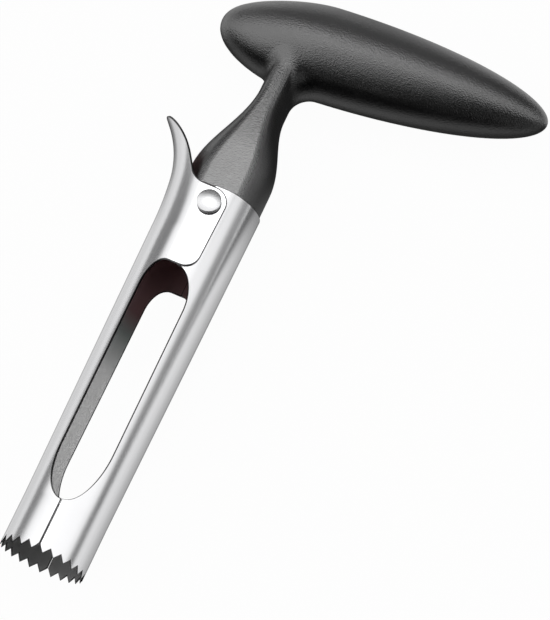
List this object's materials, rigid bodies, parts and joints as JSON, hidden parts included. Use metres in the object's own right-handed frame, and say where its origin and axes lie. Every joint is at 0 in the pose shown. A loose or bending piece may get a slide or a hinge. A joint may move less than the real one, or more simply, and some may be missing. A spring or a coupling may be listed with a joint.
{
  "type": "apple corer",
  "caption": "T-handled apple corer: a toothed steel barrel, split lengthwise, whose lever half swings open on a rivet to drop the core.",
  "frame": {"origin": "centre of the footprint of the tool lying on its side, at the level of the lower rivet head it rests on", "axes": "+Y along the barrel from the toothed mouth to the handle, +X towards the handle bar's long end, +Z along the rivet, up when it lies on a table"},
  "size_m": [0.0988, 0.1812, 0.0287],
  "materials": {
    "grip_skin": "black, fine matte texture, soft to the hand",
    "core_plastic": "black moulded plastic",
    "shell_steel": "satin stainless sheet, polished lengthwise",
    "rivet_steel": "smooth polished rivet steel"
  },
  "bodies": {
    "handle": {"handle_core": "core_plastic", "handle_grip": "grip_skin", "fixed_shell": "shell_steel", "pivot_sleeve": "rivet_steel", "pivot_pin": "rivet_steel"},
    "lever": {"lever_shell": "shell_steel"}
  },
  "joints": [
    {"name": "lever_hinge", "type": "hinge", "parent": "handle", "child": "lever", "pos_m": [-0.02521, 0.01676, 0.01437], "axis": [0, 0, -1], "range_deg": [0, 16]}
  ]
}
